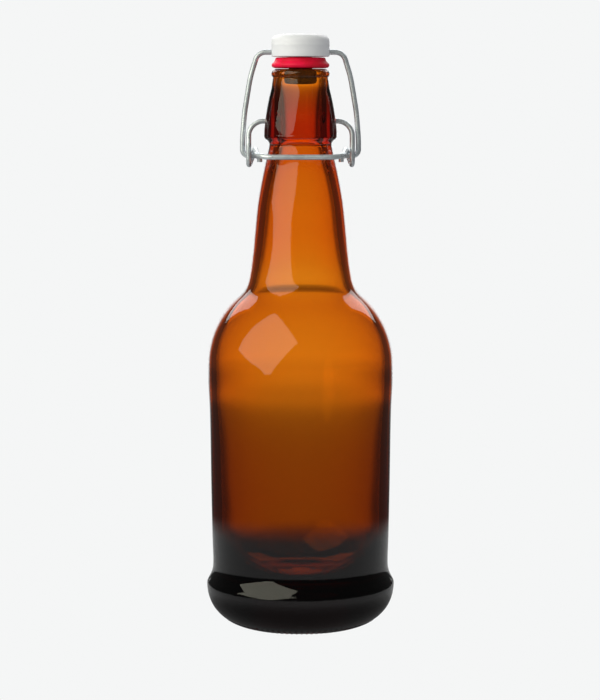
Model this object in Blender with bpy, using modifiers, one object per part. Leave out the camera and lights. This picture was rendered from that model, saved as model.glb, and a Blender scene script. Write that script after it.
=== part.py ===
# Swing-top bottle of about half a litre, closed.
# A glass bottle, the lever wire that turns in two dimples of its finish, the bail wire that hangs
# in the lever's eyes, the stopper on the bail, and the stopper's rubber gasket.
# The origin is the centre of the base plane. +Z is up, and the lever's crossbar is on the -Y side.
# Lengths are written in millimetres, and are scaled to metres where a mesh is made.

import math

import bpy
from mathutils import Vector

MM = 0.001
COLLECTION = "swing_top_bottle"
CUTTERS = "cutters"

# Gap between faces that touch on the real object
GAP = 0.3

# Bottle, outside
LIP_TOP = 234.0
BEAD_RADIUS = 12.2
BARREL_RADIUS = 15.3
SHOULDER_RADIUS = 38.8
SHOULDER_Z = 111.0
SHOULDER_ARC = 37.0
CREASE_ANGLE = 48.0
INNER_CREASE_ANGLE = 45.0
HEEL_RADIUS = 39.65
HEEL_Z = 17.5
HEEL_FULLNESS = 2.15
RING_OUTER = 21.0
RING_INNER = 16.5
PUNT_HEIGHT = 8.0

# Bottle, inside
BORE_RADIUS = 8.9
THROAT_RADIUS = 8.2
WALL = 3.2
FLOOR_Z = 15.5
BOTTLE_SIDES = 40

# Closure: the lever turns about PIVOT_Z, and the bail about EYE_Z in the lever's eyes.
# The eyes lie a little behind the pivot line, so the closed wires lock over centre.
PIVOT_Z = 212.5
EYE_Z = 198.0
EYE_Y = 0.7
CROSS_Z = 240.9
WIRE_RADIUS = 1.1
WIRE_STEP = 2.4
PIVOT_TIP_X = 12.9
EYE_X = 21.6
INNER_RUN_X = 19.1
CROSSBAR_Y = -15.9
CROSSBAR_Z = 197.2
BAIL_X = 24.2
HOOK_TIP_X = 17.0

# Stopper and gasket
HEAD_RADIUS = 12.1
HEAD_TOP = 248.7
HEAD_BOTTOM = 239.0
STEM_RADIUS = 4.8
PLUG_RADIUS = 6.8
PLUG_BOTTOM = 227.2
GASKET_TOP_RADIUS = 10.4
GASKET_RADIUS = 12.0
TURNED_SIDES = 32


def clear_scene():
    for item in list(bpy.data.objects):
        bpy.data.objects.remove(item, do_unlink=True)


def new_collection(name):
    group = bpy.data.collections.new(name)
    bpy.context.scene.collection.children.link(group)
    return group


def material(name, colour, roughness, metallic=0.0, transmission=0.0):
    made = bpy.data.materials.new(name)
    made.use_nodes = True
    shader = made.node_tree.nodes["Principled BSDF"]
    shader.inputs["Base Color"].default_value = (*colour, 1.0)
    shader.inputs["Roughness"].default_value = roughness
    shader.inputs["Metallic"].default_value = metallic
    shader.inputs["Transmission Weight"].default_value = transmission
    made.diffuse_color = (*colour, 1.0)
    return made


def arc(centre, across, up, start, end, steps):
    """Points (radius, height) along an ellipse from one angle to another, in degrees."""
    points = []
    for i in range(steps + 1):
        angle = math.radians(start + (end - start) * i / steps)
        points.append((centre[0] + across * math.cos(angle), centre[1] + up * math.sin(angle)))
    return points


def heel_curve(steps):
    """The rounded heel, a superellipse from its widest ring down to the bearing ring."""
    power = 2 / HEEL_FULLNESS
    points = []
    for i in range(1, steps + 1):
        angle = math.radians(90 * (1 - i / steps))
        radius = RING_OUTER + (HEEL_RADIUS - RING_OUTER) * math.sin(angle) ** power
        height = HEEL_Z - HEEL_Z * math.cos(angle) ** power
        points.append((radius, height))
    return points


def bottle_outside():
    """From the lip's flat top down to the bearing ring and up the punt to the axis."""
    bead_centre = (BEAD_RADIUS - 2.2, LIP_TOP - 2.1)
    points = [(BORE_RADIUS + 0.8, LIP_TOP)]
    points += arc(bead_centre, 2.2, 2.1, 90, -45, 5)
    barrel = [(11.75, 229.0), (12.2, 226.0), (13.2, 222.0), (14.15, 217.0), (14.9, 212.0),
              (BARREL_RADIUS, 207.6)]
    points += barrel
    points += arc((BARREL_RADIUS - 1.6, 206.3), 1.6, 1.8, 15, -70, 3)
    neck = [(13.1, 203.2), (13.3, 201.0), (14.95, 193.5), (16.5, 186.0), (17.85, 178.0),
            (19.0, 167.0), (19.95, 157.0), (20.95, 149.5), (22.0, 144.6), (23.6, 141.4)]
    points += neck
    shoulder_centre = (SHOULDER_RADIUS - SHOULDER_ARC, SHOULDER_Z)
    points += arc(shoulder_centre, SHOULDER_ARC, SHOULDER_ARC, CREASE_ANGLE, 0, 8)
    body = [(SHOULDER_RADIUS, SHOULDER_Z), (38.75, 103.0), (38.25, 93.5), (38.0, 84.0),
            (37.7, 60.0), (37.25, 36.0), (36.97, 27.0), (37.05, 24.4), (37.4, 22.6), (38.0, 21.0)]
    points += body[1:]
    points += arc((HEEL_RADIUS - 4.6, HEEL_Z - 0.7), 4.6, 4.6, 35, 5, 3)
    points += heel_curve(6)
    points.append((RING_INNER, 0.0))
    points += arc((0.0, 0.0), RING_INNER - 1.0, PUNT_HEIGHT, 12, 90, 4)
    return points


def bottle_inside():
    """From the middle of the floor up the inner wall to the rounded edge of the mouth."""
    floor = [(0.0, FLOOR_Z + 1.0), (9.0, FLOOR_Z + 0.8), (18.0, FLOOR_Z + 1.5), (24.5, FLOOR_Z + 5.3),
             (29.3, FLOOR_Z + 11.1), (32.8, FLOOR_Z + 20.0), (33.5, FLOOR_Z + 36.0), (34.2, 76.0),
             (35.3, 98.0), (SHOULDER_RADIUS - WALL, SHOULDER_Z)]
    inner_arc = SHOULDER_ARC - WALL
    centre = (SHOULDER_RADIUS - SHOULDER_ARC, SHOULDER_Z)
    shoulder = arc(centre, inner_arc, inner_arc, 0, INNER_CREASE_ANGLE, 5)[1:]
    neck = [(23.3, 137.2), (21.0, 139.9), (19.3, 143.4), (17.9, 149.5), (16.7, 156.0), (15.4, 166.0),
            (14.1, 178.0), (12.0, 189.0), (9.9, 197.0), (8.7, 203.0), (THROAT_RADIUS, 208.0),
            (8.35, 215.0), (BORE_RADIUS - 0.15, 222.0), (BORE_RADIUS, 226.5)]
    points = floor + shoulder + neck
    points += arc((BORE_RADIUS + 0.8, LIP_TOP - 0.8), 0.8, 0.8, 180, 105, 2)
    return points


def mesh_line(name, outline, closed=False):
    """A flat line mesh in the XZ plane, ready for a Screw modifier."""
    points = [(radius * MM, 0.0, height * MM) for radius, height in outline]
    edges = [(i, i + 1) for i in range(len(points) - 1)]
    if closed:
        edges.append((len(points) - 1, 0))
    mesh = bpy.data.meshes.new(name)
    mesh.from_pydata(points, edges, [])
    return mesh


def place(item, group, joint_origin=(0.0, 0.0, 0.0)):
    """Puts an object in its collection, with its origin at joint_origin and its shape unmoved."""
    group.objects.link(item)
    origin = Vector(joint_origin) * MM
    for vertex in item.data.vertices:
        vertex.co -= origin
    item.location = origin


def turned(name, outline, sides, group, closed=False, joint_origin=(0.0, 0.0, 0.0)):
    """A turned body: the outline swept round the Z axis through x = y = 0."""
    item = bpy.data.objects.new(name, mesh_line(name, outline, closed))
    place(item, group, (0.0, 0.0, joint_origin[2]))
    screw = item.modifiers.new("turn", "SCREW")
    screw.axis = "Z"
    screw.steps = sides
    screw.render_steps = sides
    screw.use_merge_vertices = True
    screw.merge_threshold = 0.00001
    screw.use_smooth_shade = True
    return item


def drill(item, centre, radius, depth, cutters):
    """Cuts a round hole along X into an object."""
    bpy.ops.mesh.primitive_cylinder_add(
        vertices=16,
        radius=radius * MM,
        depth=depth * MM,
        location=Vector(centre) * MM,
        rotation=(0.0, math.pi / 2, 0.0),
    )
    cutter = bpy.context.object
    cutter.name = f"{item.name}_cutter_{len(cutters.objects)}"
    for old in list(cutter.users_collection):
        old.objects.unlink(cutter)
    cutters.objects.link(cutter)
    cutter.hide_render = True
    cutter.display_type = "WIRE"
    cut = item.modifiers.new("drill", "BOOLEAN")
    cut.operation = "DIFFERENCE"
    cut.solver = "EXACT"
    cut.object = cutter


def bent(corners):
    """The centre line of a bent wire: corners (point, bend radius) with each bend as an arc."""
    points = [Vector(corners[0][0])]
    for (before, _), (corner, radius), (after, _) in zip(corners, corners[1:], corners[2:]):
        corner = Vector(corner)
        arriving = (corner - Vector(before)).normalized()
        leaving = (Vector(after) - corner).normalized()
        turn = arriving.angle(leaving)
        start = corner - arriving * radius * math.tan(turn / 2)
        inward = (leaving - arriving * arriving.dot(leaving)).normalized()
        centre = start + inward * radius
        steps = max(2, math.ceil(radius * turn / WIRE_STEP), math.ceil(turn / math.radians(24)))
        for i in range(steps + 1):
            angle = turn * i / steps
            swing = arriving * math.sin(angle) - inward * math.cos(angle)
            points.append(centre + radius * swing)
    points.append(Vector(corners[-1][0]))
    return points


def both_sides(half):
    """Mirrors the corners of one half of a wire in x and joins the halves into one run."""
    mirrored = [((-x, y, z), radius) for (x, y, z), radius in half]
    return mirrored + half[::-1]


def lever_corners():
    """One half of the lever: pivot end, side, eye, side run and crossbar corner."""
    front_y = EYE_Y - 2.6
    rear_y = EYE_Y + 2.7
    return [
        ((PIVOT_TIP_X, 0.0, PIVOT_Z), 0.0),
        ((EYE_X, 0.0, PIVOT_Z - 0.2), 6.2),
        ((EYE_X, front_y, PIVOT_Z - 11.0), 14.0),
        ((EYE_X, front_y, EYE_Z - 3.7), 2.6),
        ((EYE_X - 0.3, rear_y, EYE_Z - 3.7), 2.6),
        ((INNER_RUN_X, rear_y, EYE_Z + 2.7), 2.4),
        ((INNER_RUN_X - 0.4, EYE_Y - 4.0, EYE_Z + 2.6), 6.0),
        ((17.4, CROSSBAR_Y, CROSSBAR_Z + 0.6), 6.5),
    ]


def bail_corners():
    """One half of the bail: hook tip, hook, the bowed leg and the corner of the top run."""
    half = [
        ((HOOK_TIP_X, EYE_Z - 2.6), 0.0),
        ((HOOK_TIP_X, EYE_Z), 1.8),
        ((BAIL_X, EYE_Z), 2.6),
        ((BAIL_X, 205.0), 60.0),
        ((23.3, 216.0), 70.0),
        ((20.9, 230.5), 50.0),
        ((17.7, CROSS_Z), 4.2),
    ]
    lean = EYE_Y / (CROSS_Z - EYE_Z)
    return [((x, (CROSS_Z - z) * lean, z), radius) for (x, z), radius in half]


def wire(name, half, group, joint_origin):
    """A round wire along its bent centre line, as one closed mesh with flat ends."""
    curve = bpy.data.curves.new(name, "CURVE")
    curve.dimensions = "3D"
    curve.bevel_depth = WIRE_RADIUS * MM
    curve.bevel_resolution = 2
    curve.use_fill_caps = True
    curve.render_resolution_u = 0
    origin = Vector(joint_origin)
    points = bent(both_sides(half))
    line = curve.splines.new("POLY")
    line.points.add(len(points) - 1)
    for target, point in zip(line.points, points):
        target.co = (*((point - origin) * MM), 1.0)
    item = bpy.data.objects.new(name, curve)
    group.objects.link(item)
    item.location = origin * MM
    return item


def stopper_outline():
    """From the top of the domed head down to the bottom of the plug."""
    points = [(0.0, HEAD_TOP)]
    points += [(4.5, HEAD_TOP - 0.1), (8.0, HEAD_TOP - 0.35)]
    points += arc((HEAD_RADIUS - 2.8, HEAD_TOP - 3.4), 2.8, 2.8, 78, 0, 6)
    points += arc((HEAD_RADIUS - 0.4, HEAD_BOTTOM + 0.4), 0.4, 0.4, 0, -90, 2)
    points.append((STEM_RADIUS, HEAD_BOTTOM))
    plug_top = LIP_TOP
    points.append((STEM_RADIUS, plug_top))
    points += arc((PLUG_RADIUS - 0.5, plug_top - 0.5), 0.5, 0.5, 90, 0, 2)
    points.append((PLUG_RADIUS, PLUG_BOTTOM + 1.6))
    points += arc((PLUG_RADIUS - 1.2, PLUG_BOTTOM + 1.2), 1.2, 1.2, 0, -90, 3)
    points.append((0.0, PLUG_BOTTOM))
    return points


def gasket_outline():
    """The washer's section, clockwise from the top of its bore: a cone with a rounded skirt."""
    bottom = LIP_TOP + GAP
    top = HEAD_BOTTOM - GAP
    inner = STEM_RADIUS + GAP
    points = [(inner, top), (GASKET_TOP_RADIUS - 0.4, top), (GASKET_TOP_RADIUS, top - 0.4)]
    points.append((GASKET_TOP_RADIUS + 0.7, top - 1.6))
    points += arc((GASKET_RADIUS - 0.9, bottom + 1.3), 0.9, 1.0, 45, -60, 4)
    points.append((GASKET_RADIUS - 1.2, bottom))
    points.append((inner, bottom))
    return points


def build():
    clear_scene()
    parts = new_collection(COLLECTION)
    cutters = new_collection(CUTTERS)
    amber = material("amber_glass", (0.36, 0.11, 0.015), 0.05, transmission=0.9)
    steel = material("wire_steel", (0.62, 0.64, 0.65), 0.28, metallic=1.0)
    white = material("white_plastic", (0.88, 0.88, 0.88), 0.35)
    red = material("red_rubber", (0.62, 0.02, 0.05), 0.55)

    bottle = turned("bottle", bottle_inside() + bottle_outside(), BOTTLE_SIDES, parts)
    for side in (-1, 1):
        dimple_x = side * (PIVOT_TIP_X - GAP + 5.0)
        drill(bottle, (dimple_x, 0.0, PIVOT_Z), WIRE_RADIUS + 0.35, 10.0, cutters)
    bottle.data.materials.append(amber)

    lever = wire("lever_wire", lever_corners(), parts, (0.0, 0.0, PIVOT_Z))
    lever.data.materials.append(steel)
    bail = wire("bail_wire", bail_corners(), parts, (0.0, EYE_Y, EYE_Z))
    bail.data.materials.append(steel)

    cross = (0.0, 0.0, CROSS_Z)
    stopper = turned("stopper", stopper_outline(), TURNED_SIDES, parts, joint_origin=cross)
    drill(stopper, cross, WIRE_RADIUS + 0.25, 4 * HEAD_RADIUS, cutters)
    stopper.data.materials.append(white)
    gasket = turned("gasket", gasket_outline(), TURNED_SIDES, parts, closed=True, joint_origin=cross)
    gasket.data.materials.append(red)


build()
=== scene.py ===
# Swing-top bottle: glass bottle, lever wire, bail wire, stopper and gasket, each replacing its CAD node.
# Outlines and wire routes are in millimetres in the frame of the part, and mm makes them metres.
import math

import bmesh
import bpy
from mathutils import Matrix, Vector


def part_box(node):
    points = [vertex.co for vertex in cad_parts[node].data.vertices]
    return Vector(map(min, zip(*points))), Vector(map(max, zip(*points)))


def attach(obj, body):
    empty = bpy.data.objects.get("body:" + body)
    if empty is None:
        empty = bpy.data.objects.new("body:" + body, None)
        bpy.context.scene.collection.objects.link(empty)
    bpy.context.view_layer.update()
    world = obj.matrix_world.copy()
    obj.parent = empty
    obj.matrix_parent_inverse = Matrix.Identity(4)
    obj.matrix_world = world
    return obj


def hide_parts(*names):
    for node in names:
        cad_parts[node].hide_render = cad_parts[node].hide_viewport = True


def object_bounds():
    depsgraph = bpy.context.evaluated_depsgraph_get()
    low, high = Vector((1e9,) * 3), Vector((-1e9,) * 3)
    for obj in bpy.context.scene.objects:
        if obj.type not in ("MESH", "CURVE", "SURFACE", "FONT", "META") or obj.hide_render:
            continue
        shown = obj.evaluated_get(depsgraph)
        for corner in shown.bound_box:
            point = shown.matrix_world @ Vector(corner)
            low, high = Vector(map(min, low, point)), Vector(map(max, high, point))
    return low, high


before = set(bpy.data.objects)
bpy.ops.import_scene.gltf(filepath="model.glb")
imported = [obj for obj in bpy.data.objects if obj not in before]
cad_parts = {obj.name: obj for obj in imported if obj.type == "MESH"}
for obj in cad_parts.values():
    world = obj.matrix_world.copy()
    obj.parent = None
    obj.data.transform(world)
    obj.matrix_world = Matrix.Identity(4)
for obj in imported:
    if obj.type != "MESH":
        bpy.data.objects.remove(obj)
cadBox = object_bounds()
mm = 0.001

# heights that several pieces share, read from the frame
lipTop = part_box("bottle")[1].z / mm
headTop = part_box("stopper")[1].z / mm
objectTop = cadBox[1].z
print("frame loaded: lip at", round(lipTop, 1), "mm, stopper top at", round(headTop, 1), "mm")


# modelling helpers

def deselectAll():
    if bpy.context.mode != "OBJECT":
        bpy.ops.object.mode_set(mode="OBJECT")
    bpy.ops.object.select_all(action="DESELECT")


def arcPoints(centre, across, up, start, end, steps):
    points = []
    for i in range(steps + 1):
        angle = math.radians(start + (end - start) * i / steps)
        points.append((centre[0] + across * math.cos(angle), centre[1] + up * math.sin(angle)))
    return points


def curveThrough(points, spacing, least=2):
    # a smooth curve through given points, by the centripetal Catmull-Rom construction
    spots = [Vector(p) for p in points]
    spots = [2 * spots[0] - spots[1]] + spots + [2 * spots[-1] - spots[-2]]
    curve = [spots[1]]
    for run in zip(spots, spots[1:], spots[2:], spots[3:]):
        knots = [0.0]
        for near, far in zip(run, run[1:]):
            knots.append(knots[-1] + max((far - near).length, 1e-6) ** 0.5)
        count = max(least, math.ceil((run[2] - run[1]).length / spacing))
        for i in range(1, count + 1):
            t = knots[1] + (knots[2] - knots[1]) * i / count
            first = [between(run[k], run[k + 1], knots[k], knots[k + 1], t) for k in range(3)]
            second = [between(first[k], first[k + 1], knots[k], knots[k + 2], t) for k in range(2)]
            curve.append(between(second[0], second[1], knots[1], knots[2], t))
    return [tuple(p) for p in curve]


def between(a, b, start, end, t):
    return a + (b - a) * ((t - start) / (end - start))


def drawLine(name, points):
    # a plane is merged to one vertex, and that vertex is extruded from point to point
    deselectAll()
    bpy.ops.mesh.primitive_plane_add(size=mm)
    line = bpy.context.object
    line.name = name
    line.data.name = name
    bpy.ops.object.mode_set(mode="EDIT")
    bpy.ops.mesh.select_mode(type="VERT")
    bpy.ops.mesh.select_all(action="SELECT")
    bpy.ops.mesh.merge(type="CENTER")
    spots = [Vector(p) * mm for p in points]
    bpy.ops.transform.translate(value=spots[0])
    for before, after in zip(spots, spots[1:]):
        bpy.ops.mesh.extrude_region_move(TRANSFORM_OT_translate={"value": after - before})
    return line


def joinEnds(line):
    mesh = bmesh.from_edit_mesh(line.data)
    for vertex in mesh.verts:
        vertex.select_set(len(vertex.link_edges) == 1)
    bmesh.update_edit_mesh(line.data)
    bpy.ops.mesh.edge_face_add()


def turned(name, outline, sides, closed=False):
    # the outline is spun round the upright axis, and its poles and seam are merged
    line = drawLine(name, [(radius, 0.0, height) for radius, height in outline])
    if closed:
        joinEnds(line)
    bpy.ops.mesh.select_all(action="SELECT")
    bpy.ops.mesh.spin(steps=sides, angle=2 * math.pi, center=(0, 0, 0), axis=(0, 0, 1))
    bpy.ops.mesh.select_all(action="SELECT")
    bpy.ops.mesh.remove_doubles(threshold=0.02 * mm)
    bpy.ops.mesh.normals_make_consistent(inside=False)
    bpy.ops.object.mode_set(mode="OBJECT")
    return line


def selectOnly(piece):
    deselectAll()
    piece.select_set(True)
    bpy.context.view_layer.objects.active = piece


def selectWhere(piece, kind, wanted):
    # edit mode with just the faces or edges chosen by place or normal
    selectOnly(piece)
    bpy.ops.object.mode_set(mode="EDIT")
    bpy.ops.mesh.select_mode(type=kind)
    bpy.ops.mesh.select_all(action="DESELECT")
    mesh = bmesh.from_edit_mesh(piece.data)
    for item in mesh.faces if kind == "FACE" else mesh.edges:
        if wanted(item):
            item.select_set(True)
    mesh.select_flush_mode()
    bmesh.update_edit_mesh(piece.data)


def drillWith(piece, cutter):
    selectOnly(piece)
    cut = piece.modifiers.new("drill", "BOOLEAN")
    cut.operation = "DIFFERENCE"
    cut.solver = "EXACT"
    cut.object = cutter
    bpy.ops.object.modifier_apply(modifier=cut.name)
    bpy.data.objects.remove(cutter, do_unlink=True)


def finishPiece(piece, finish, body, node, smoothAngle=40):
    # the finished mesh at the origin, with its material, its body and the CAD node it stands for
    selectOnly(piece)
    bpy.ops.object.transform_apply(location=True, rotation=True, scale=True)
    bpy.ops.object.shade_smooth_by_angle(angle=math.radians(smoothAngle))
    piece.data.materials.clear()
    piece.data.materials.append(finish)
    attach(piece, body)
    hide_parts(node)
    print(piece.name, "done:", len(piece.data.vertices), "vertices")


# shader helpers

class Sum:
    # a socket whose value can be used in ordinary maths
    def __init__(self, shader, socket):
        self.shader = shader
        self.socket = socket

    def maths(self, operation, a, b=0.0):
        return self.shader.maths(operation, a, b)

    def absolute(self):
        return self.maths("ABSOLUTE", self)

    def root(self):
        return self.maths("SQRT", self)

    def __add__(self, other):
        return self.maths("ADD", self, other)

    def __radd__(self, other):
        return self.maths("ADD", other, self)

    def __sub__(self, other):
        return self.maths("SUBTRACT", self, other)

    def __rsub__(self, other):
        return self.maths("SUBTRACT", other, self)

    def __mul__(self, other):
        return self.maths("MULTIPLY", self, other)

    def __rmul__(self, other):
        return self.maths("MULTIPLY", other, self)


class Shader:
    # one node tree, and the one method that adds a node to it
    def __init__(self, tree):
        self.tree = tree

    def node(self, kind, settings=None, sockets=None):
        made = self.tree.nodes.new(kind)
        for key, value in (settings or {}).items():
            setattr(made, key, value)
        for key, value in (sockets or {}).items():
            if isinstance(value, Sum):
                self.tree.links.new(value.socket, made.inputs[key])
            elif hasattr(value, "is_output"):
                self.tree.links.new(value, made.inputs[key])
            else:
                made.inputs[key].default_value = value
        return made

    def value(self, kind, settings=None, sockets=None, output=0):
        return Sum(self, self.node(kind, settings, sockets).outputs[output])

    def maths(self, operation, a, b=0.0):
        return self.value("ShaderNodeMath", {"operation": operation}, {0: a, 1: b})

    def position(self):
        return self.value("ShaderNodeTexCoord", output="Object")

    def noise(self, vector, scale, detail=3.0, roughness=0.5):
        sockets = {"Vector": vector, "Scale": scale, "Detail": detail, "Roughness": roughness}
        return self.value("ShaderNodeTexNoise", {}, sockets)

    def smoothStep(self, value, low, high, fromValue=0.0, toValue=1.0):
        settings = {"interpolation_type": "SMOOTHSTEP", "clamp": True}
        sockets = {0: value, 1: low, 2: high, 3: fromValue, 4: toValue}
        return self.value("ShaderNodeMapRange", settings, sockets)

    def mixColour(self, factor, a, b):
        sockets = {0: factor, 6: a, 7: b}
        return self.value("ShaderNodeMix", {"data_type": "RGBA"}, sockets, output=2)


def newMaterial(name):
    made = bpy.data.materials.new(name)
    made.use_nodes = True
    made.node_tree.nodes.clear()
    return made, Shader(made.node_tree)


def colour(r, g, b):
    return (r, g, b, 1.0)


# glass

amberGlass = {
    "refraction": 1.52,
    "roughness": 0.012,
    "absorption": (86.0, 305.0, 920.0),   # per metre, for red, green and blue
    "wave": 0.00012,                      # height of the slow ripple that pressed glass has
    "waveSize": 26.0,
    "fineSize": 260.0,
    "fineShare": 0.008,
}


def makeAmberGlass():
    made, shader = newMaterial("amberGlass")
    place = shader.position()
    slow = shader.noise(place, amberGlass["waveSize"], 1.5)
    fine = shader.noise(place, amberGlass["fineSize"], 2.0)
    rough = amberGlass["roughness"]
    bump = shader.node("ShaderNodeBump", {}, {
        "Strength": 1.0,
        "Distance": amberGlass["wave"],
        "Height": slow + fine * amberGlass["fineShare"],
    })
    glass = shader.node("ShaderNodeBsdfPrincipled", {}, {
        "Base Color": colour(1.0, 1.0, 1.0),
        "Transmission Weight": 1.0,
        "IOR": amberGlass["refraction"],
        "Roughness": shader.smoothStep(fine, 0.3, 0.8, rough * 0.5, rough),
        "Normal": bump.outputs[0],
    })
    most = max(amberGlass["absorption"])
    volume = shader.node("ShaderNodeVolumeAbsorption", {}, {
        "Color": colour(*(1.0 - value / most for value in amberGlass["absorption"])),
        "Density": most,
    })
    out = shader.node("ShaderNodeOutputMaterial", {}, {"Surface": glass.outputs[0]})
    shader.tree.links.new(volume.outputs[0], out.inputs["Volume"])
    return made


# wire

wireSteel = {
    "bright": (0.82, 0.88, 0.92),
    "dull": (0.60, 0.65, 0.69),
    "metallic": 0.60,
    "roughness": (0.26, 0.42),
    "scratch": 0.00002,
    "cloudSize": 140.0,
    "grainSize": 2600.0,
}


def makeWireSteel():
    made, shader = newMaterial("wireSteel")
    place = shader.position()
    cloud = shader.noise(place, wireSteel["cloudSize"], 4.0, 0.6)
    grain = shader.noise(place, wireSteel["grainSize"], 3.0, 0.6)
    tint = shader.mixColour(shader.smoothStep(cloud, 0.35, 0.68), colour(*wireSteel["bright"]),
                            colour(*wireSteel["dull"]))
    low, high = wireSteel["roughness"]
    bump = shader.node("ShaderNodeBump", {}, {
        "Strength": 1.0, "Distance": wireSteel["scratch"], "Height": grain + cloud * 0.5,
    })
    steel = shader.node("ShaderNodeBsdfPrincipled", {}, {
        "Base Color": tint,
        "Metallic": wireSteel["metallic"],
        "Roughness": shader.smoothStep(cloud + grain * 0.4, 0.5, 0.9, low, high),
        "Normal": bump.outputs[0],
    })
    shader.node("ShaderNodeOutputMaterial", {}, {"Surface": steel.outputs[0]})
    return made


# plastic

whitePlastic = {
    "colour": (0.82, 0.83, 0.86),
    "shade": (0.75, 0.76, 0.79),
    # the plug's near-black colour is painted shade for the shadowed bore
    "plug": (0.010, 0.010, 0.011),
    "paintedShadeTop": 0.2386,
    "roughness": (0.30, 0.44),
    "grain": 0.00002,
    "cloudSize": 90.0,
    "grainSize": 1500.0,
}


def makeWhitePlastic():
    made, shader = newMaterial("whitePlastic")
    place = shader.position()
    cloud = shader.noise(place, whitePlastic["cloudSize"], 3.0)
    grain = shader.noise(place, whitePlastic["grainSize"], 3.0)
    low, high = whitePlastic["roughness"]
    bump = shader.node("ShaderNodeBump", {}, {
        "Strength": 0.8, "Distance": whitePlastic["grain"], "Height": grain + cloud * 2.0,
    })
    # painted shade: the stem and plug under the head are coloured near-black for the shadowed bore under
    # the gasket
    height = Sum(shader, shader.node("ShaderNodeSeparateXYZ", {}, {0: place}).outputs["Z"])
    inPaintedShade = height.maths("LESS_THAN", height, whitePlastic["paintedShadeTop"])
    head = shader.mixColour(shader.smoothStep(cloud, 0.3, 0.75), colour(*whitePlastic["colour"]),
                            colour(*whitePlastic["shade"]))
    plastic = shader.node("ShaderNodeBsdfPrincipled", {}, {
        "Base Color": shader.mixColour(inPaintedShade, head, colour(*whitePlastic["plug"])),
        "Roughness": shader.smoothStep(grain, 0.3, 0.7, low, high),
        "Normal": bump.outputs[0],
    })
    shader.node("ShaderNodeOutputMaterial", {}, {"Surface": plastic.outputs[0]})
    return made


# rubber

redRubber = {
    "colour": (0.85, 0.002, 0.050),
    "worn": (0.68, 0.002, 0.024),
    "shine": 0.25,
    "roughness": (0.36, 0.56),
    "grain": 0.00004,
    "cloudSize": 160.0,
    "grainSize": 1900.0,
}


def makeRedRubber():
    made, shader = newMaterial("redRubber")
    place = shader.position()
    cloud = shader.noise(place, redRubber["cloudSize"], 4.0)
    grain = shader.noise(place, redRubber["grainSize"], 4.0, 0.6)
    low, high = redRubber["roughness"]
    bump = shader.node("ShaderNodeBump", {}, {
        "Strength": 0.9, "Distance": redRubber["grain"], "Height": grain + cloud,
    })
    rubber = shader.node("ShaderNodeBsdfPrincipled", {}, {
        "Base Color": shader.mixColour(shader.smoothStep(cloud, 0.35, 0.7), colour(*redRubber["colour"]),
                                       colour(*redRubber["worn"])),
        "Roughness": shader.smoothStep(cloud + grain * 0.3, 0.4, 0.9, low, high),
        "Specular IOR Level": redRubber["shine"],
        "Normal": bump.outputs[0],
    })
    shader.node("ShaderNodeOutputMaterial", {}, {"Surface": rubber.outputs[0]})
    return made


glassFinish = makeAmberGlass()
steelFinish = makeWireSteel()
plasticFinish = makeWhitePlastic()
rubberFinish = makeRedRubber()
print("materials made")


# bottle

bottleShape = {
    "sides": 160,
    "spacing": 2.2,
    "beadRadius": 12.2,
    "barrelRadius": 15.3,
    "shoulderRadius": 38.8,
    "shoulderHeight": 111.0,
    "shoulderArc": 37.0,
    "creaseAngle": 48,
    "innerCreaseAngle": 45,
    "heelRadius": 39.65,
    "heelHeight": 17.5,
    "heelFullness": 2.15,
    "ringOuter": 21.0,
    "ringInner": 16.5,
    "puntHeight": 8.0,
    "boreRadius": 8.9,
    "throatRadius": 8.2,
    "wall": 3.2,
    "floor": 15.5,
    "pivotHeight": 212.5,
    "dimpleFloor": 12.6,
    "dimpleDepth": 5.0,
    "dimpleInner": 1.45,
    "dimpleOuter": 2.9,
    "dimpleRound": 0.5,
    "seamFrom": 6.0,
    "seamTo": 200.0,
    "seamWidth": 0.35,
    "seamHeight": 0.09,
    "padsFrom": 22.5,
    "padsTo": 33.0,
    "padsBelow": 3.0,
    "padMargin": 0.18,
    "padTaper": 0.14,
    "padHeight": 0.18,
}


def heelCurve(shape, steps):
    power = 2 / shape["heelFullness"]
    points = []
    for i in range(1, steps + 1):
        angle = math.radians(90 * (1 - i / steps))
        reach = shape["heelRadius"] - shape["ringOuter"]
        radius = shape["ringOuter"] + reach * math.sin(angle) ** power
        points.append((radius, shape["heelHeight"] * (1 - math.cos(angle) ** power)))
    return points


def outsideOutline(shape):
    points = [(shape["boreRadius"] + 0.85, lipTop)]
    points += arcPoints((shape["beadRadius"] - 2.2, lipTop - 2.1), 2.2, 2.1, 90, -45, 9)
    points += [(11.75, 229.0), (12.2, 226.0), (13.2, 222.0), (14.15, 217.0), (14.9, 212.0)]
    points.append((shape["barrelRadius"], 207.6))
    points += arcPoints((shape["barrelRadius"] - 1.6, 206.3), 1.6, 1.8, 15, -70, 6)
    points += [(13.1, 203.2), (13.3, 201.0), (14.95, 193.5), (16.5, 186.0), (17.85, 178.0)]
    points += [(19.0, 167.0), (19.95, 157.0), (20.95, 149.5), (22.0, 144.6), (23.6, 141.4)]
    centre = (shape["shoulderRadius"] - shape["shoulderArc"], shape["shoulderHeight"])
    reach = shape["shoulderArc"]
    points += arcPoints(centre, reach, reach, shape["creaseAngle"], 0, 12)
    points += [(38.75, 103.0), (38.25, 93.5), (38.0, 84.0), (37.7, 60.0), (37.25, 36.0), (36.97, 27.0)]
    points += [(37.05, 24.4), (37.4, 22.6), (38.0, 21.0)]
    points += arcPoints((shape["heelRadius"] - 4.6, shape["heelHeight"] - 0.7), 4.6, 4.6, 35, 5, 5)
    points += heelCurve(shape, 14)
    points.append((shape["ringInner"], 0.0))
    points += arcPoints((0.0, 0.0), shape["ringInner"] - 1.0, shape["puntHeight"], 12, 90, 9)
    return points


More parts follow.
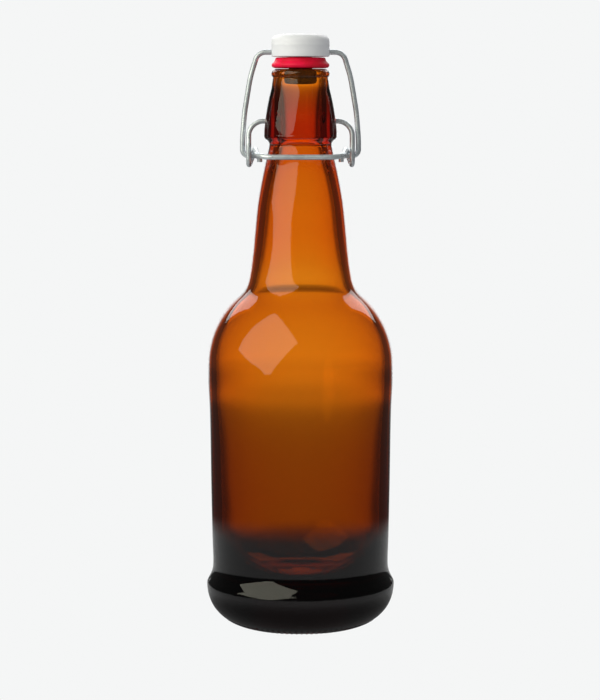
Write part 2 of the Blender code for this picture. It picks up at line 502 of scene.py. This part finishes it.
def insideOutline(shape):
    floor = shape["floor"]
    points = [(0.0, floor + 1.0), (9.0, floor + 0.8), (18.0, floor + 1.5), (24.5, floor + 5.3)]
    points += [(29.3, floor + 11.1), (32.8, floor + 20.0), (33.5, floor + 36.0), (34.2, 76.0)]
    points.append((35.3, 98.0))
    centre = (shape["shoulderRadius"] - shape["shoulderArc"], shape["shoulderHeight"])
    reach = shape["shoulderArc"] - shape["wall"]
    points += arcPoints(centre, reach, reach, 0, shape["innerCreaseAngle"], 8)
    points += [(23.3, 137.2), (21.0, 139.9), (19.3, 143.4), (17.9, 149.5), (16.7, 156.0), (15.4, 166.0)]
    points += [(14.1, 178.0), (12.0, 189.0), (9.9, 197.0), (8.7, 203.0), (shape["throatRadius"], 208.0)]
    points += [(8.35, 215.0), (shape["boreRadius"] - 0.15, 222.0), (shape["boreRadius"], 226.5)]
    points += arcPoints((shape["boreRadius"] + 0.8, lipTop - 0.8), 0.8, 0.8, 180, 105, 4)
    return points


def dimpleCutter(shape, side):
    # a tapered pin with a rounded end, lying along X
    deselectAll()
    depth = shape["dimpleDepth"]
    inner, outer = shape["dimpleInner"], shape["dimpleOuter"]
    middle = side * (shape["dimpleFloor"] + depth / 2)
    bpy.ops.mesh.primitive_cone_add(
        vertices=32, radius1=inner * mm, radius2=outer * mm, depth=depth * mm,
        location=(middle * mm, 0.0, shape["pivotHeight"] * mm), rotation=(0.0, side * math.pi / 2, 0.0),
    )
    cutter = bpy.context.object
    bpy.ops.object.transform_apply(location=True, rotation=True, scale=True)
    floorPlane = (shape["dimpleFloor"] + 0.01) * mm
    selectWhere(cutter, "EDGE", lambda edge: all(abs(v.co.x) < floorPlane for v in edge.verts))
    bpy.ops.mesh.bevel(offset=shape["dimpleRound"] * mm, segments=4, affect="EDGES")
    bpy.ops.object.mode_set(mode="OBJECT")
    return cutter


def addMouldSeams(bottle, shape):
    # the mould's two halves meet at the sides and leave a fine raised line from heel to neck
    low, high = shape["seamFrom"] * mm, shape["seamTo"] * mm

    def onSeam(edge):
        a, b = (v.co for v in edge.verts)
        upright = abs(a.y) < 0.01 * mm and abs(b.y) < 0.01 * mm
        if not upright or min(a.z, b.z) <= low or max(a.z, b.z) > high:
            return False
        middle = (a + b) / 2
        facing = sum((face.normal for face in edge.link_faces), Vector())
        # the outer wall only, and not the inner wall or the hollow under the base
        return facing.x * middle.x > 0 and abs(middle.x) > 12 * mm

    selectWhere(bottle, "EDGE", onSeam)
    bpy.ops.mesh.bevel(offset=shape["seamWidth"] * mm, segments=2, affect="EDGES")
    mesh = bmesh.from_edit_mesh(bottle.data)
    for vertex in mesh.verts:
        inFace = any(face.select for face in vertex.link_faces)
        vertex.select_set(inFace and abs(vertex.co.y) < 0.01 * mm)
    raised = [v for v in mesh.verts if v.select]
    for vertex in raised:
        vertex.co.x += math.copysign(shape["seamHeight"] * mm, vertex.co.x)
    bmesh.update_edit_mesh(bottle.data)
    bpy.ops.object.mode_set(mode="OBJECT")
    print("mould seams raised at", len(raised), "points")


def addBearingPads(bottle, shape):
    # small raised pads keep the glass off what it stands on
    sides = shape["sides"]

    def onRing(face):
        middle = face.calc_center_median()
        radius = math.hypot(middle.x, middle.y) / mm
        column = math.floor(math.atan2(middle.y, middle.x) / (2 * math.pi) * sides)
        inZone = shape["padsFrom"] < radius < shape["padsTo"] and middle.z < shape["padsBelow"] * mm
        return inZone and column % 2 == 0

    selectWhere(bottle, "FACE", onRing)
    bpy.ops.mesh.inset(thickness=shape["padMargin"] * mm, depth=0.0, use_individual=True)
    taper, rise = shape["padTaper"] * mm, shape["padHeight"] * mm
    bpy.ops.mesh.inset(thickness=taper, depth=rise, use_individual=True)
    bpy.ops.object.mode_set(mode="OBJECT")


def makeBottle(shape):
    outline = insideOutline(shape) + outsideOutline(shape)
    bottle = turned("bottleGlass", curveThrough(outline, shape["spacing"]), shape["sides"])
    addMouldSeams(bottle, shape)
    addBearingPads(bottle, shape)
    for side in (-1, 1):
        drillWith(bottle, dimpleCutter(shape, side))
    finishPiece(bottle, glassFinish, "bottle", "bottle")


makeBottle(bottleShape)


# wires

wireShape = {
    "radius": 1.1,
    "step": 0.45,
    "roundness": 5,
    "endBevel": 0.35,
    "pivotTip": 12.9,
    "pivotHeight": 212.5,
    "eyeAcross": 21.6,
    "eyeBack": 0.7,
    "eyeHeight": 198.0,
    "innerRun": 19.1,
    "crossbar": (17.4, -15.9, 197.8),
    "bailAcross": 24.2,
    "hookTip": 17.0,
    "crossHeight": 240.9,
}


def bentLine(corners, step):
    # a bent wire's middle line: corners as (point, bend radius), each bend a round arc
    points = [Vector(corners[0][0])]
    for (before, _), (corner, radius), (after, _) in zip(corners, corners[1:], corners[2:]):
        corner = Vector(corner)
        arriving = (corner - Vector(before)).normalized()
        leaving = (Vector(after) - corner).normalized()
        turn = arriving.angle(leaving)
        start = corner - arriving * radius * math.tan(turn / 2)
        inward = (leaving - arriving * arriving.dot(leaving)).normalized()
        steps = max(3, math.ceil(radius * turn / step))
        for i in range(steps + 1):
            angle = turn * i / steps
            rise = inward * radius * (1 - math.cos(angle))
            points.append(start + rise + arriving * radius * math.sin(angle))
    points.append(Vector(corners[-1][0]))
    return points


def bothSides(half):
    mirrored = [((-x, y, z), radius) for (x, y, z), radius in half]
    return mirrored + half[::-1]


def leverCorners(shape):
    across, back, eye = shape["eyeAcross"], shape["eyeBack"], shape["eyeHeight"]
    pivot = shape["pivotHeight"]
    front, rear = back - 2.6, back + 2.7
    return [
        ((shape["pivotTip"], 0.0, pivot), 0.0),
        ((across, 0.0, pivot - 0.2), 6.2),
        ((across, front, pivot - 11.0), 14.0),
        ((across, front, eye - 3.7), 2.6),
        ((across - 0.3, rear, eye - 3.7), 2.6),
        ((shape["innerRun"], rear, eye + 2.7), 2.4),
        ((shape["innerRun"] - 0.4, back - 4.0, eye + 2.6), 6.0),
        (shape["crossbar"], 6.5),
    ]


def bailCorners(shape):
    across, back = shape["bailAcross"], shape["eyeBack"]
    eye, top = shape["eyeHeight"], shape["crossHeight"]
    half = [
        ((shape["hookTip"], eye - 2.6), 0.0),
        ((shape["hookTip"], eye), 1.8),
        ((across, eye), 2.6),
        ((across, 205.0), 60.0),
        ((23.3, 216.0), 70.0),
        ((20.9, 230.5), 50.0),
        ((17.7, top), 4.2),
    ]
    lean = back / (top - eye)
    return [((x, (top - z) * lean, z), radius) for (x, z), radius in half]


def makeWire(name, half, body, node, shape):
    line = drawLine(name, bentLine(bothSides(half), shape["step"]))
    bpy.ops.object.mode_set(mode="OBJECT")
    selectOnly(line)
    bpy.ops.object.convert(target="CURVE")
    wire = bpy.context.object
    wire.data.bevel_depth = shape["radius"] * mm
    wire.data.bevel_resolution = shape["roundness"]
    wire.data.use_fill_caps = True
    bpy.ops.object.convert(target="MESH")
    wire = bpy.context.object
    bpy.ops.object.mode_set(mode="EDIT")
    bpy.ops.mesh.select_all(action="SELECT")
    bpy.ops.mesh.remove_doubles(threshold=0.005 * mm)
    bpy.ops.mesh.normals_make_consistent(inside=False)
    selectWhere(wire, "EDGE", lambda edge: any(len(face.verts) > 4 for face in edge.link_faces))
    bpy.ops.mesh.bevel(offset=shape["endBevel"] * mm, segments=3, affect="EDGES")
    bpy.ops.object.mode_set(mode="OBJECT")
    finishPiece(wire, steelFinish, body, node, 50)


makeWire("leverWire", leverCorners(wireShape), "lever", "lever_wire", wireShape)
makeWire("bailWire", bailCorners(wireShape), "bail", "bail_wire", wireShape)


# stopper and gasket

stopperShape = {
    "sides": 144,
    "headRadius": 12.1,
    "headBottom": 239.0,
    "stemRadius": 4.8,
    "plugRadius": 6.8,
    "plugBottom": 227.2,
    "holeRadius": 1.35,
    "partingHeight": 243.9,
    "gateRadius": 1.6,
}

gasketShape = {
    "sides": 144,
    "topRadius": 10.4,
    "radius": 12.0,
    "gap": 0.3,
    "flash": 0.12,
}


def stopperOutline(shape):
    # from the gate mark on the dome down to the bottom of the plug
    gate = shape["gateRadius"]
    radius, bottom, plug = shape["headRadius"], shape["headBottom"], shape["plugRadius"]
    points = [(0.0, headTop - 0.35), (gate - 0.35, headTop - 0.35), (gate, headTop - 0.08)]
    points += [(3.0, headTop - 0.03), (4.5, headTop - 0.1), (6.3, headTop - 0.21), (8.0, headTop - 0.35)]
    points += arcPoints((radius - 2.8, headTop - 3.4), 2.8, 2.8, 78, 0, 10)
    parting = shape["partingHeight"]
    points += [(radius, parting + 0.25), (radius + 0.07, parting), (radius, parting - 0.25)]
    points += [(radius - 0.02, bottom + 2.2)]
    points += arcPoints((radius - 0.5, bottom + 0.5), 0.5, 0.5, 0, -90, 4)
    points += [(shape["stemRadius"] + 0.3, bottom), (shape["stemRadius"], bottom - 0.3)]
    points += [(shape["stemRadius"], lipTop + 0.3), (shape["stemRadius"] + 0.3, lipTop)]
    points += arcPoints((plug - 0.5, lipTop - 0.5), 0.5, 0.5, 90, 0, 3)
    points.append((plug, shape["plugBottom"] + 1.6))
    points += arcPoints((plug - 1.2, shape["plugBottom"] + 1.2), 1.2, 1.2, 0, -90, 5)
    points.append((0.0, shape["plugBottom"]))
    return points


def gasketOutline(shape):
    # the washer's section: a cone with a rounded skirt and a thin line of flash round it
    bottom = lipTop + shape["gap"]
    top = stopperShape["headBottom"] - shape["gap"]
    inner = stopperShape["stemRadius"] + shape["gap"]
    upper, radius = shape["topRadius"], shape["radius"]
    points = [(inner, bottom + 0.3), (inner, top - 0.3), (inner + 0.3, top), (upper - 0.6, top)]
    points += arcPoints((upper - 0.5, top - 0.5), 0.5, 0.5, 80, 20, 3)
    points += [(upper + 0.35, top - 1.3), (upper + 0.75, top - 1.9)]
    points += arcPoints((radius - 0.9, bottom + 1.3), 0.9, 1.0, 55, 12, 3)
    points.append((radius + shape["flash"] - 0.05, bottom + 1.25))
    points += arcPoints((radius - 0.9, bottom + 1.2), 0.9, 1.0, -8, -70, 4)
    points.append((radius - 1.4, bottom))
    points.append((inner + 0.3, bottom))
    return points


def makeStopper(shape):
    stopper = turned("stopperPlastic", stopperOutline(shape), shape["sides"])
    deselectAll()
    bpy.ops.mesh.primitive_cylinder_add(
        vertices=32, radius=shape["holeRadius"] * mm, depth=4 * shape["headRadius"] * mm,
        location=(0.0, 0.0, wireShape["crossHeight"] * mm), rotation=(0.0, math.pi / 2, 0.0),
    )
    cutter = bpy.context.object
    bpy.ops.object.transform_apply(location=True, rotation=True, scale=True)
    drillWith(stopper, cutter)
    finishPiece(stopper, plasticFinish, "stopper", "stopper", 35)


def makeGasket(shape):
    gasket = turned("gasketRubber", gasketOutline(shape), shape["sides"], closed=True)
    finishPiece(gasket, rubberFinish, "stopper", "gasket", 50)


makeStopper(stopperShape)
makeGasket(gasketShape)


# stage, light and camera

stageLook = {
    "pale": (0.913, 0.921, 0.921),
    "floorRadius": 2.6,
    # what is seen through glass: bright far behind, dimmer on the floor near the bottle
    "bright": 1.38,
    "nearFloor": 0.33,
    "rampFrom": 0.46,
    "rampTo": 1.15,
    "shadowFrom": 0.07,
    "shadowTo": 0.24,
    "sideLevel": 0.17,
    "overhead": 0.15,
    "skyFadeFrom": 0.12,
    "skyFadeTo": 0.36,
    # bearings from straight behind, in degrees, where the dimmer zone begins and ends
    "dimFrom": 15.0,
    "dimFull": 27.0,
    "dimUntil": 62.0,
    "dimGone": 110.0,
    # what is seen in reflections, and what lights matt surfaces
    "reflected": 0.05,
    "nearReflected": 0.40,
    "nearFrom": 0.20,
    "nearTo": 0.27,
    # a painted contact shadow on the floor, seen in reflections
    "contactShadowLevel": 0.30,
    "contactShadowFrom": 0.042,
    "contactShadowTo": 0.085,
    "ambient": 0.46,
}

lights = [
    # name, azimuth from the camera's side towards -X, elevation, distance, width, height, roll,
    # radiance, colour, and whether it lights matt surfaces only
    ("keySoftbox", 48.0, 28.0, 0.95, 1.07, 1.07, 61.0, 1.68, (1.0, 0.98, 0.80), False),
    ("backBank", 180.0, 39.0, 1.6, 2.75, 1.1, 0.0, 1.9, (1.0, 1.0, 1.0), False),
    ("mattFill", 65.0, 22.0, 0.9, 0.8, 0.8, 0.0, 1.2, (1.0, 1.0, 1.0), True),
]


def aimAt(item, target):
    direction = Vector(target) - item.location
    item.rotation_euler = direction.to_track_quat("-Z", "Y").to_euler()


def addLight(name, azimuth, elevation, distance, width, height, roll, radiance, tint, mattOnly):
    side, up = math.radians(azimuth), math.radians(elevation)
    aim = Vector((0.0, 0.0, 0.5 * objectTop))
    direction = Vector((-math.sin(side) * math.cos(up), -math.cos(side) * math.cos(up), math.sin(up)))
    lamp = bpy.data.lights.new(name, "AREA")
    lamp.shape = "RECTANGLE"
    lamp.size = width
    lamp.size_y = height
    lamp.color = tint
    lamp.energy = radiance * math.pi * width * height
    item = bpy.data.objects.new(name, lamp)
    bpy.context.scene.collection.objects.link(item)
    item.location = aim + direction * distance
    aimAt(item, aim)
    rolled = Matrix.Rotation(math.radians(roll), 3, "Z")
    item.rotation_euler = (item.rotation_euler.to_matrix() @ rolled).to_euler()
    item.visible_camera = False
    # a light for matt surfaces lifts the closure without a second window in the glass
    item.visible_glossy = not mattOnly
    item.visible_transmission = not mattOnly


def aroundLevels(shader, across, along, look):
    # full brightness straight behind, a dimmer zone either side of it, and full again in front
    bearing = shader.maths("ARCTAN2", across, along).absolute() * (180 / math.pi)
    dimming = shader.smoothStep(bearing, look["dimFrom"], look["dimFull"])
    recovery = shader.smoothStep(bearing, look["dimUntil"], look["dimGone"])
    return 1.0 - (1.0 - look["sideLevel"]) * dimming * (1.0 - recovery), 1.0 - dimming


def byRay(shader, through, reflection, look):
    # light path: one brightness for refracted rays, one for reflected ones and one for matt surfaces
    ray = shader.node("ShaderNodeLightPath")
    refracted = Sum(shader, ray.outputs["Is Transmission Ray"])
    reflected = Sum(shader, ray.outputs["Is Glossy Ray"]) * (1.0 - refracted)
    matt = 1.0 - refracted - reflected
    level = through * refracted + reflection * reflected + look["ambient"] * matt
    return level, ray.outputs["Is Camera Ray"]


def paleGlow(shader, kind, level, fromCamera, look):
    # the plain pale ground for the camera, and the given level for every other ray
    seen = shader.node(kind, {}, {"Color": colour(*look["pale"]), "Strength": 1.0})
    glow = shader.node(kind, {}, {"Color": colour(*look["pale"]), "Strength": level})
    return shader.node("ShaderNodeMixShader", {}, {0: fromCamera, 1: glow.outputs[0], 2: seen.outputs[0]})


def makeFloor(look):
    made, shader = newMaterial("stagePale")
    place = shader.node("ShaderNodeSeparateXYZ", {}, {0: shader.position()})
    across, along = Sum(shader, place.outputs["X"]), Sum(shader, place.outputs["Y"])
    distance = (across * across + along * along).root()
    shadow = shader.smoothStep(distance, look["shadowFrom"], look["shadowTo"])
    far = shader.smoothStep(distance, look["rampFrom"], look["rampTo"], look["nearFloor"], 1.0)
    around, behind = aroundLevels(shader, across, along, look)
    lit = look["bright"] * shadow * far
    near = shader.smoothStep(distance, look["nearFrom"], look["nearTo"], look["nearReflected"],
                             look["reflected"])
    # painted contact shadow: the floor seen in reflections darkens close round the base
    near = near * shader.smoothStep(distance, look["contactShadowFrom"], look["contactShadowTo"],
                                    look["contactShadowLevel"], 1.0)
    level, fromCamera = byRay(shader, lit * around, near + lit * far * behind, look)
    mixed = paleGlow(shader, "ShaderNodeEmission", level, fromCamera, look)
    shader.node("ShaderNodeOutputMaterial", {}, {"Surface": mixed.outputs[0]})
    deselectAll()
    bpy.ops.mesh.primitive_circle_add(vertices=96, radius=look["floorRadius"], fill_type="NGON")
    floor = bpy.context.object
    floor.name = "stageFloor"
    floor.data.materials.append(made)


def makeWorld(look):
    world = bpy.data.worlds.new("studio")
    bpy.context.scene.world = world
    world.use_nodes = True
    world.node_tree.nodes.clear()
    shader = Shader(world.node_tree)
    direction = shader.value("ShaderNodeTexCoord", output="Generated")
    parts = shader.node("ShaderNodeSeparateXYZ", {}, {0: direction})
    across, along, rise = (Sum(shader, parts.outputs[axis]) for axis in "XYZ")
    upward = shader.smoothStep(rise, look["skyFadeFrom"], look["skyFadeTo"], 1.0, look["overhead"])
    around, behind = aroundLevels(shader, across, along, look)
    lit = look["bright"] * upward
    level, fromCamera = byRay(shader, lit * around, look["reflected"] + lit * behind, look)
    mixed = paleGlow(shader, "ShaderNodeBackground", level, fromCamera, look)
    shader.node("ShaderNodeOutputWorld", {}, {"Surface": mixed.outputs[0]})


viewpoint = {
    "distance": 1.0,
    "across": -0.0002,
    "height": 0.2233,
    "pitch": 6.10,
    "lens": 122.8,
}


def makeCamera(seen):
    lens = bpy.data.cameras.new("viewCamera")
    lens.lens = seen["lens"]
    lens.sensor_width = 36.0
    lens.clip_start = 0.05
    camera = bpy.data.objects.new("viewCamera", lens)
    bpy.context.scene.collection.objects.link(camera)
    camera.location = (seen["across"], -seen["distance"], seen["height"])
    camera.rotation_euler = (math.radians(90 - seen["pitch"]), 0.0, 0.0)
    bpy.context.scene.camera = camera


for row in lights:
    addLight(*row)
makeFloor(stageLook)
makeWorld(stageLook)
makeCamera(viewpoint)
bpy.context.scene.view_settings.view_transform = "Standard"
print("stage, lights and camera ready")

deselectAll()
